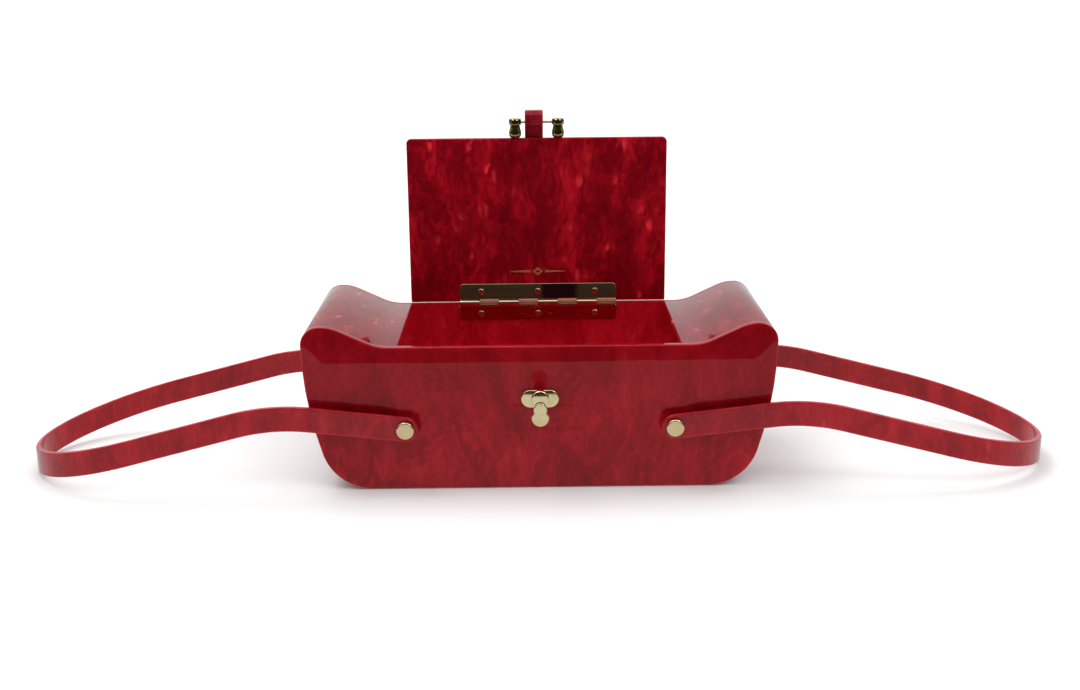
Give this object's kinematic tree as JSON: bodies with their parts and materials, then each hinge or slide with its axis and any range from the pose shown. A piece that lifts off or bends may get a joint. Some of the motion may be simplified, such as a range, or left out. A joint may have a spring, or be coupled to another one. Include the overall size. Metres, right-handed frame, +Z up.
{
  "type": "acrylic box handbag",
  "caption": "Rigid boat-shaped box handbag with raised shoulders, a hinged flat lid shown open, a swinging tongue and turning catch, and looped strip handles on studs.",
  "frame": {"origin": "on the floor under the middle of the body, at the centre of the flat base", "axes": "+Z up; -Y the front, the panel with the catch; +X to the right seen from the front, along the handles"},
  "size_m": [0.611, 0.1403, 0.2057],
  "materials": {
    "acrylic_red": "polished pearlescent cast acrylic, marbled",
    "gold_metal": "polished pale gold plate"
  },
  "bodies": {
    "box": {"front_panel": "acrylic_red", "back_panel": "acrylic_red", "base_panel": "acrylic_red", "end_shell_left": "acrylic_red", "end_shell_right": "acrylic_red", "hinge_leaf_body": "gold_metal", "hinge_screws_body": "gold_metal", "hinge_pin": "gold_metal", "catch_plate": "gold_metal", "catch_nut": "gold_metal", "stud_front_left": "gold_metal", "stud_front_right": "gold_metal", "stud_back_left": "gold_metal", "stud_back_right": "gold_metal", "handle_spacers": "gold_metal", "stud_caps": "gold_metal"},
    "lid": {"lid_panel": "acrylic_red", "hinge_leaf_lid": "gold_metal", "hinge_screws_lid": "gold_metal", "clasp_post_left": "gold_metal", "clasp_post_right": "gold_metal", "clasp_rod": "gold_metal"},
    "tongue": {"clasp_tongue": "acrylic_red"},
    "knob": {"turn_knob": "gold_metal", "knob_clip": "gold_metal"},
    "handle_left": {"handle_left": "acrylic_red"},
    "handle_right": {"handle_right": "acrylic_red"}
  },
  "joints": [
    {"name": "lid_hinge", "type": "hinge", "parent": "box", "child": "lid", "pos_m": [0, 0.0495, 0.0853], "axis": [1, 0, 0], "range_deg": [0, 90]},
    {"name": "tongue_swing", "type": "hinge", "parent": "lid", "child": "tongue", "pos_m": [0, 0.052, 0.1985], "axis": [1, 0, 0], "range_deg": [0, 270]},
    {"name": "knob_turn", "type": "hinge", "parent": "box", "child": "knob", "pos_m": [0, -0.054, 0.0542], "axis": [0, 1, 0], "range_deg": [0, 90]},
    {"name": "handle_left_swing", "type": "hinge", "parent": "box", "child": "handle_left", "pos_m": [-0.0765, 0, 0.0385], "axis": [0, 1, 0], "range_deg": [0, 112]},
    {"name": "handle_right_swing", "type": "hinge", "parent": "box", "child": "handle_right", "pos_m": [0.0765, 0, 0.0385], "axis": [0, -1, 0], "range_deg": [0, 112]}
  ]
}
